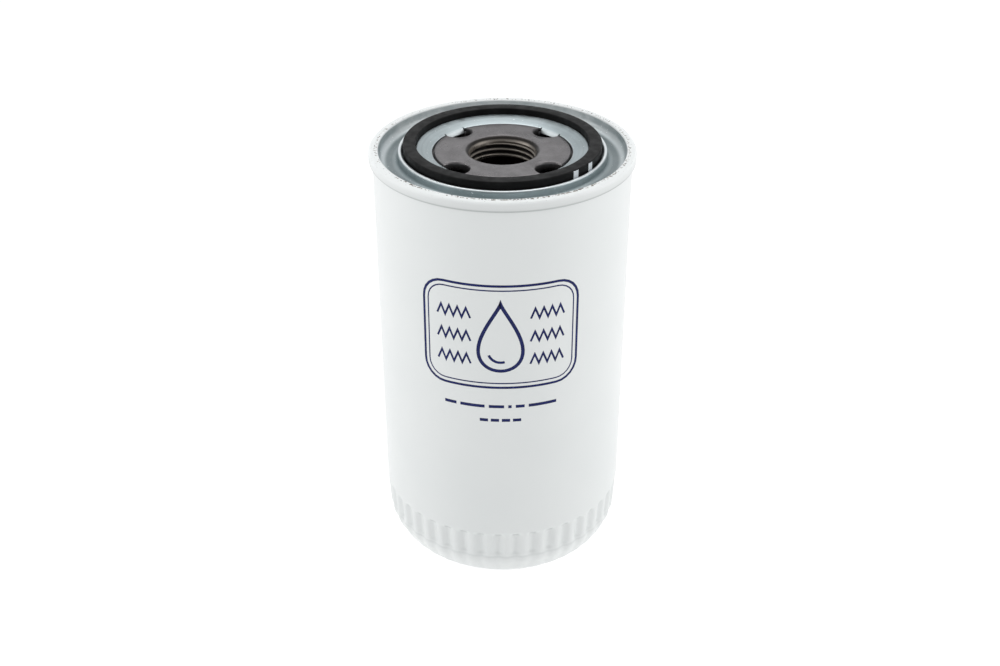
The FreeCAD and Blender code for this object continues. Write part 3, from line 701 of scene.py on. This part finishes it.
def make_lid(zinc):
    """Pressed lid and its four tabs, bent down into the oil inlets."""
    wall = LID_WALL
    lip_mid, lip_outer = GROOVE_OUTER + LIP_WIDTH / 2, GROOVE_OUTER + LIP_WIDTH
    outline = rounded([
        (LID_INNER, LID_INNER_HEIGHT - wall, 0.1),
        (NOTCH_RADIUS, cone_height(NOTCH_RADIUS) - wall),
        (GROOVE_INNER - wall, PLATEAU_HEIGHT - wall - 0.35, 0.2),
        (GROOVE_INNER - wall, GROOVE_FLOOR - wall, 0.3),
        (lip_mid, GROOVE_FLOOR - wall),
        (lip_mid, TROUGH_FLOOR - wall, 0.2),
        (SEAM_INNER + wall, TROUGH_FLOOR - wall, 3.6),
        (SEAM_INNER + wall, SEAM_TOP - CAN_WALL - wall, 0.1),
        (HOOK_RADIUS - wall, SEAM_TOP - CAN_WALL - wall, 0.2),
        (HOOK_RADIUS - wall, HOOK_FOOT),
        (HOOK_RADIUS, HOOK_FOOT),
        (HOOK_RADIUS, SEAM_TOP - CAN_WALL, 0.9),
        (SEAM_INNER + 0.05, SEAM_TOP - CAN_WALL, 0.1),
        (SEAM_INNER + 0.05, TROUGH_FLOOR, 2.9),
        (lip_outer, TROUGH_FLOOR, 1.3),
        (lip_outer, LIP_TOP, 0.72),
        (GROOVE_OUTER, LIP_TOP, 0.72),
        (GROOVE_OUTER, GROOVE_FLOOR, 0.3),
        (GROOVE_INNER, GROOVE_FLOOR, 0.3),
        (GROOVE_INNER, PLATEAU_HEIGHT, 0.45),
        (NOTCH_RADIUS, cone_height(NOTCH_RADIUS)),
        (LID_INNER, LID_INNER_HEIGHT, 0.15),
    ])
    turns = 900
    bm = bmesh.new()
    sweep_outline(bm, outline, [2 * math.pi * step / turns for step in range(turns)], lid_shape)
    root = LID_INNER + 0.9
    tab = rounded([
        (root, cone_height(root) - wall),
        (root, cone_height(root) + 0.03),
        (LID_INNER - 0.1, LID_INNER_HEIGHT + 0.02, 0.9),
        (LID_INNER - TAB_REACH, LID_INNER_HEIGHT - TAB_DROP, 0.15),
        (LID_INNER - TAB_REACH + wall * 0.8, LID_INNER_HEIGHT - TAB_DROP - wall * 0.6, 0.15),
        (LID_INNER + 0.3, LID_INNER_HEIGHT - wall, 0.6),
    ])
    for number in range(TAB_COUNT):
        middle = 2 * math.pi * (number + 0.5) / TAB_COUNT
        angles = [middle + TAB_HALF * (step / 12 - 1) for step in range(25)]
        sweep_outline(bm, tab, angles, tab_shape, closed=False)
    lid = make_object("lid_pressing", bm, 38)
    return finish_piece(lid, "housing", "zinc_plate", zinc, "seaming_lid")


def make_gasket(black):
    """Square-cut gasket with slightly rounded edges."""
    middle = (GASKET_INNER + GASKET_OUTER) / 2
    outline = rounded([
        (GASKET_INNER + 0.02, GASKET_FOOT, 0.3),
        (GASKET_OUTER, GASKET_FOOT, 0.3),
        (GASKET_OUTER, GASKET_TOP, 0.35),
        (middle, GASKET_TOP),
        (GASKET_INNER + 0.02, GASKET_TOP, 0.35),
    ])
    ring = lathe("gasket_ring", outline, turns=360)
    finish_piece(ring, "housing", "gasket_rubber", black, "sealing_gasket")


def make_paint_marks(chalk):
    """Two brushed marks on the gasket's outer wall, ragged at the foot and the top."""
    dice = random.Random(5)
    for number, (start, end) in enumerate(PAINT_MARK_ANGLES, start=1):
        bm = bmesh.new()
        ragged = [(dice.uniform(-0.25, 0.3), dice.uniform(-0.12, 0.08)) for _ in range(PAINT_COLUMNS + 1)]
        skins = []
        for lift in (PAINT_LIFT, -PAINT_ROOT):
            skin = []
            for step, (foot_shift, top_shift) in enumerate(ragged):
                angle = math.radians(start + (end - start) * step / PAINT_COLUMNS)
                low, high = PAINT_FOOT + foot_shift, PAINT_TOP + top_shift
                heights = [low + (high - low) * part / PAINT_ROWS for part in range(PAINT_ROWS + 1)]
                skin.append([bm.verts.new(polar(GASKET_OUTER + lift, angle, up)) for up in heights])
            skins.append(skin)
        close_skin(bm, *skins)
        mark = make_object(f"gasket_paint_mark_{number}", bm)
        finish_piece(mark, "housing", "white_paint", chalk)


# ---------------------------------------------------------------- base plate

def thread_shape(radius, height, angle):
    """Cuts the right-hand thread into the bore; the groove runs out in the mouth's rounding."""
    if radius > THREAD_MINOR + SAME_RADIUS or height < COLLAR_FOOT + SAME_RADIUS:
        return radius, height
    phase = (height / THREAD_PITCH - angle / (2 * math.pi)) % 1.0
    groove = max(0.0, 1 - abs(phase - 0.5) / 0.42)
    depth = (THREAD_MAJOR - THREAD_MINOR) * min(1.0, groove * 1.15)
    return radius + depth, height


def with_thread_rows(outline):
    """Splits the bore's wall into rows fine enough to carry the thread."""
    fine = []
    for index, here in enumerate(outline):
        fine.append(here)
        after = outline[(index + 1) % len(outline)]
        in_bore = max(here.x, after.x) < THREAD_MINOR + SAME_RADIUS
        if in_bore and here.y - after.y > THREAD_PITCH:
            rows = math.ceil((here.y - after.y) / THREAD_ROW)
            fine.extend(here.lerp(after, row / rows) for row in range(1, rows))
    return fine


def inlet_cutter(number):
    """Plug with a flared mouth that cuts one oil inlet and the rolled edge round it."""
    outline = rounded([
        (0.0, COLLAR_FOOT - 2),
        (INLET_RADIUS, COLLAR_FOOT - 2),
        (INLET_RADIUS, PLATE_TOP, 0.9),
        (INLET_RADIUS + 4.0, PLATE_TOP + 0.45),
        (INLET_RADIUS + 4.0, PLATE_TOP + 3),
        (0.0, PLATE_TOP + 3),
    ])
    plug = lathe(f"inlet_plug_{number}", outline, turns=96)
    angle = 2 * math.pi * (number + 0.5) / INLET_COUNT
    plug.location = polar(INLET_CIRCLE, angle, 0.0)
    return plug


def cut_inlets(plate):
    """Cuts the oil inlets out of the plate and keeps the result as its mesh."""
    plugs = [inlet_cutter(number) for number in range(INLET_COUNT)]
    for plug in plugs:
        cut = plate.modifiers.new(plug.name, "BOOLEAN")
        cut.object = plug
        cut.operation = "DIFFERENCE"
        cut.solver = "EXACT"
    bpy.context.view_layer.update()
    seen = plate.evaluated_get(bpy.context.evaluated_depsgraph_get())
    cut_mesh = bpy.data.meshes.new_from_object(seen)
    plate.modifiers.clear()
    plate.data = cut_mesh
    for plug in plugs:
        bpy.data.objects.remove(plug)


def make_base_plate(steel):
    """Stepped plate with a threaded collar and four oil inlets."""
    under_lid = TROUGH_FLOOR - LID_WALL
    under_lip = GROOVE_OUTER + LIP_WIDTH / 2 + 0.05
    under_plateau = GROOVE_INNER - LID_WALL - 0.2
    outline = rounded([
        (THREAD_MINOR, COLLAR_FOOT, 0.2),
        (COLLAR_RADIUS, COLLAR_FOOT, 0.5),
        (COLLAR_RADIUS, PLATE_TOP - PLATE_WALL, 1.6),
        (UNDER_SLOPE_INNER, PLATE_TOP - PLATE_WALL, 1.0),
        (UNDER_SLOPE_OUTER, LEDGE_TOP - PLATE_WALL, 1.0),
        (UNDER_STEP_INNER, LEDGE_TOP - PLATE_WALL, 0.8),
        (UNDER_STEP_OUTER, under_lid - PLATE_WALL, 1.2),
        (PLATE_EDGE, under_lid - PLATE_WALL, 0.3),
        (PLATE_EDGE, under_lid - UNDER_LID_GAP, 0.3),
        (under_lip, under_lid - UNDER_LID_GAP),
        (under_lip, GROOVE_FLOOR - LID_WALL - UNDER_LID_GAP, 0.2),
        (under_plateau, GROOVE_FLOOR - LID_WALL - UNDER_LID_GAP),
        (under_plateau, LEDGE_TOP - UNDER_LID_GAP, 0.2),
        (STEP_FOOT_RADIUS, LEDGE_TOP - 0.5, 0.2),
        (STEP_TOP_RADIUS, PLATE_TOP - 0.2, 0.35),
        (TOP_EDGE_RADIUS, PLATE_TOP, 1.4),
        (THREAD_MINOR, PLATE_TOP, MOUTH_ROUND),
    ])
    plate = lathe("plate_body", with_thread_rows(outline), turns=240, shape=thread_shape, sharp=40)
    cut_inlets(plate)
    return finish_piece(plate, "housing", "phosphated_steel", steel, "threaded_base_plate")


# ---------------------------------------------------------------- pieces inside the can

def make_drainback_valve(black):
    """Rubber neck, which stays, and the flap round it."""
    lip, neck_foot, neck_top = extent("anti_drainback_valve")
    neck_inner, neck_outer, root = 17.2, 18.3, 156.1
    lip_top = 159.4
    neck = lathe("drainback_neck", rounded([
        (neck_inner, neck_foot, 0.2),
        (neck_outer, neck_foot, 0.3),
        (neck_outer, neck_top, 0.25),
        (neck_inner, neck_top, 0.25),
    ]), turns=180)
    finish_piece(neck, "housing", "valve_rubber", black)
    outline = rounded([
        (neck_outer - 0.3, root),
        (lip - 2.2, lip_top - 1.15, 1.0),
        (lip, lip_top - 0.85, 0.3),
        (lip, lip_top, 0.3),
        (lip - 1.6, lip_top, 0.4),
        (lip - 3.4, lip_top - 0.45, 1.0),
        (neck_outer - 0.3, root + 1.2),
    ])
    flap = lathe("drainback_flap", refine(outline, root, lip_top, 1.0), turns=180)
    finish_piece(flap, None, "valve_rubber", black, "anti_drainback_valve")
    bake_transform(flap)


def make_pleats(paper):
    """Folded paper with rounded, slightly uneven folds, closed into a ring."""
    outer, foot, top = extent("pleated_media")
    inner, folds, wall = 22.0, 54, 0.42
    dice = random.Random(11)
    step = 2 * math.pi / folds
    line = []
    for fold in range(folds):
        tip = outer - 0.25 - dice.uniform(0.0, 0.5) * (fold > 0)
        root = inner + 0.3 + dice.uniform(0.0, 0.35)
        middle = fold * step
        line.extend(((root + 0.7, middle - step * 0.43), (tip - 0.7, middle - step * 0.14),
                     (tip, middle - step * 0.06), (tip, middle + step * 0.06),
                     (tip - 0.7, middle + step * 0.14), (root + 0.7, middle + step * 0.43)))
        line.append((root, middle + step * 0.5))
    flat = [Vector((radius * math.cos(angle), radius * math.sin(angle))) for radius, angle in line]
    bm = bmesh.new()
    columns = []
    for index, here in enumerate(flat):
        along = (flat[(index + 1) % len(flat)] - flat[index - 1]).normalized()
        side = Vector((-along.y, along.x)) * wall / 2
        corners = [here + side, here - side]
        columns.append([[bm.verts.new((*(corner * MM), height * MM)) for corner in corners]
                        for height in (foot, top)])
    for index, column in enumerate(columns):
        after = columns[(index + 1) % len(columns)]
        for edge in (0, 1):
            bm.faces.new((column[0][edge], after[0][edge], after[1][edge], column[1][edge]))
            bm.faces.new((column[edge][0], after[edge][0], after[edge][1], column[edge][1]))
    finish_piece(make_object("paper_pleats", bm, 60), "element", "filter_paper", paper, "pleated_media")


COIL_STEPS, COIL_SIDES = 64, 16
DEAD_TURN_PITCH = 0.55


def coil_points(mean, wire, foot, top, turns, dead_turns):
    """Middle line of a spring whose end turns lie closed against its seats."""
    steps = int(turns * COIL_STEPS)
    rise = top - foot - 2 * wire
    wound = 2 * wire * DEAD_TURN_PITCH
    points = []
    for step in range(steps + 1):
        turned = turns * step / steps
        if turned < dead_turns:
            height = turned * wound
        elif turned > turns - dead_turns:
            height = rise - (turns - turned) * wound
        else:
            share = (turned - dead_turns) / (turns - 2 * dead_turns)
            height = dead_turns * wound + share * (rise - 2 * dead_turns * wound)
        points.append(polar(mean, 2 * math.pi * turned, foot + wire + height))
    return points


def make_coil(name, node, wire, dead_turns, turns, body, steel):
    """Round-wire coil spring."""
    outer, foot, top = extent(node)
    points = coil_points(outer - wire, wire, foot, top, turns, dead_turns)
    bm = bmesh.new()
    rings = []
    for index, here in enumerate(points):
        after = points[min(index + 1, len(points) - 1)]
        before = points[max(index - 1, 0)]
        along = (after - before).normalized()
        outward = Vector((here.x, here.y, 0)).normalized()
        up = along.cross(outward).normalized()
        rings.append([bm.verts.new(here + (outward * math.cos(turn) + up * math.sin(turn)) * wire * MM)
                      for turn in (2 * math.pi * side / COIL_SIDES for side in range(COIL_SIDES))])
    for ring, after in zip(rings, rings[1:]):
        for side in range(COIL_SIDES):
            beside = (side + 1) % COIL_SIDES
            bm.faces.new((ring[side], ring[beside], after[beside], after[side]))
    bm.faces.new(rings[0])
    bm.faces.new(rings[-1])
    spring = make_object(name, bm)
    finish_piece(spring, body, "spring_steel", steel, node)
    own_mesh(spring)


def make_springs(steel):
    """Both coil springs."""
    for name, node, wire, turns, body, joint, anchor_top in (
        ("bypass_coil", "bypass_valve_spring", 0.7, 6.5, "element", "bypass_valve_lift", True),
        ("support_coil", "element_support_spring", 1.2, 4.5, "housing", "element_float", False),
    ):
        make_coil(name, node, wire, 0.9, turns, body, steel)


def dress_cad_nodes(materials):
    """CAD pieces whose shape is already right get their own procedural material."""
    for node, material in materials.items():
        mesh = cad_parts[node].data
        mesh.materials.clear()
        mesh.materials.append(material)


# ---------------------------------------------------------------- studio

# Lengths here are in metres, except the focal length and the sensor, which are in millimetres.
CAMERA_BACK, CAMERA_ABOVE_SEAM, CAMERA_ASIDE = 0.4517, 0.1916, -0.0009
CAMERA_TILT = math.radians(90 - 30.83)
CAMERA_LENS = 49.04
FLOOR_RADIUS, FLOOR_GLOW = 20.0, 0.7
SKY_HORIZON_TO_TOP, SKY_BEHIND = (0.71, 0.43), 0.36
SIDE_POWER, TOP_POWER = 2.3, 3.3
SIDE_REACH, SIDE_BACK, SIDE_HEIGHT = 0.75, -0.12, 0.35


def make_camera():
    """Camera in front of the filter and above it, tilted down."""
    lens = bpy.data.cameras.new("camera")
    lens.sensor_width = 36.0
    lens.lens = CAMERA_LENS
    lens.clip_start = 0.01
    camera = bpy.data.objects.new("camera", lens)
    camera.location = (CAMERA_ASIDE, -CAMERA_BACK, SEAM_TOP * MM + CAMERA_ABOVE_SEAM)
    camera.rotation_euler = (CAMERA_TILT, 0, 0)
    bpy.context.scene.collection.objects.link(camera)
    bpy.context.scene.camera = camera


def add_softbox(name, place, aim, width, height, power):
    """Rectangular area light that points at aim and isn't seen by the camera."""
    light = bpy.data.lights.new(name, "AREA")
    light.shape = "RECTANGLE"
    light.size = width
    light.size_y = height
    light.energy = power
    lamp = bpy.data.objects.new(name, light)
    lamp.visible_camera = False
    lamp.location = place
    lamp.rotation_euler = (Vector(aim) - Vector(place)).to_track_quat("-Z", "Y").to_euler()
    bpy.context.scene.collection.objects.link(lamp)


def make_world():
    """White surround: bright at the horizon and behind, dimmer overhead in front."""
    world = bpy.data.worlds.new("studio")
    world.use_nodes = True
    tree = world.node_tree
    split = tree.nodes.new("ShaderNodeSeparateXYZ")
    tree.links.new(tree.nodes.new("ShaderNodeTexCoord").outputs["Generated"], split.inputs["Vector"])
    parts = []
    for axis, far, (at_zero, at_far) in (("Z", 0.45, SKY_HORIZON_TO_TOP), ("Y", 0.9, (0.0, SKY_BEHIND))):
        span = tree.nodes.new("ShaderNodeMapRange")
        span.interpolation_type = "SMOOTHSTEP"
        for name, number in (("From Max", far), ("To Min", at_zero), ("To Max", at_far)):
            span.inputs[name].default_value = number
        tree.links.new(split.outputs[axis], span.inputs["Value"])
        parts.append(span.outputs["Result"])
    total = tree.nodes.new("ShaderNodeMath")
    tree.links.new(parts[0], total.inputs[0])
    tree.links.new(parts[1], total.inputs[1])
    sky = tree.nodes["Background"]
    sky.inputs["Color"].default_value = (0.97, 0.985, 1.0, 1.0)
    tree.links.new(total.outputs["Value"], sky.inputs["Strength"])
    bpy.context.scene.world = world


def make_studio():
    """Pale floor, white surround, and softboxes on both sides and above."""
    shader = Shader("studio_floor", roughness=0.8)
    shader.colour(shader.mix(shader.noise(3, 2), (0.44, 0.44, 0.44), (0.46, 0.46, 0.46)))
    shader.base.inputs["Emission Color"].default_value = (1, 1, 1, 1)
    shader.base.inputs["Emission Strength"].default_value = FLOOR_GLOW
    bm = bmesh.new()
    bmesh.ops.create_circle(bm, cap_ends=True, radius=FLOOR_RADIUS, segments=128)
    floor = make_object("studio_floor", bm)
    floor.data.materials.append(shader.material)
    make_world()
    middle = (0, 0, 0.1)
    for name, across in (("left_softbox", -SIDE_REACH), ("right_softbox", SIDE_REACH)):
        add_softbox(name, (across, SIDE_BACK, SIDE_HEIGHT), middle, 0.7, 0.9, SIDE_POWER)
    add_softbox("top_softbox", (0, 0.25, 1.0), middle, 0.9, 0.7, TOP_POWER)
    bpy.context.scene.view_settings.view_transform = "Standard"


make_camera()
make_studio()
enamel = enamel_paint()
black_rubber = rubber("gasket_rubber", (0.003, 0.003, 0.003), (0.010, 0.010, 0.010), 0.5, 1200)
valve_rubber = rubber("valve_rubber", (0.014, 0.006, 0.006), (0.035, 0.018, 0.016), 0.5, 600)
chalk_paint = printed_ink("chalk_paint", (0.70, 0.76, 0.80), (0.85, 0.88, 0.90), gaps=0.9)
tinned = plain_steel("tinned_steel", (0.58, 0.58, 0.56), (0.74, 0.74, 0.71), 0.3)
tube_steel = plain_steel("tube_steel", (0.40, 0.40, 0.41), (0.55, 0.55, 0.55), 0.38, 8.0)
spring_steel = plain_steel("spring_steel", (0.16, 0.155, 0.15), (0.32, 0.31, 0.30), 0.34, 4.0)
potting = matt_compound("potting_adhesive", (0.62, 0.38, 0.26), (0.78, 0.54, 0.40))
seam_lining = matt_compound("seam_compound", (0.22, 0.17, 0.13), (0.36, 0.30, 0.24))
make_can(enamel)
make_printed_mark(printed_ink("navy_ink", (0.004, 0.008, 0.075), (0.007, 0.014, 0.105)))
make_lid(zinc_plate())
make_gasket(black_rubber)
make_paint_marks(chalk_paint)
make_base_plate(phosphated_steel())
make_drainback_valve(valve_rubber)
make_pleats(filter_paper())
make_springs(spring_steel)
dress_cad_nodes({
    "seam_sealing_compound": seam_lining,
    "upper_end_cap": tinned,
    "lower_end_cap": tinned,
    "upper_potting_ring": potting,
    "lower_potting_ring": potting,
    "media_seam_clip": tinned,
    "center_tube": tube_steel,
    "bypass_valve_seat": tinned,
    "bypass_valve_cage": tinned,
    "bypass_valve_poppet": tinned,
    "bypass_valve_seal": valve_rubber,
    "bypass_valve_stem": spring_steel,
    "spring_seat_cup": tinned,
})
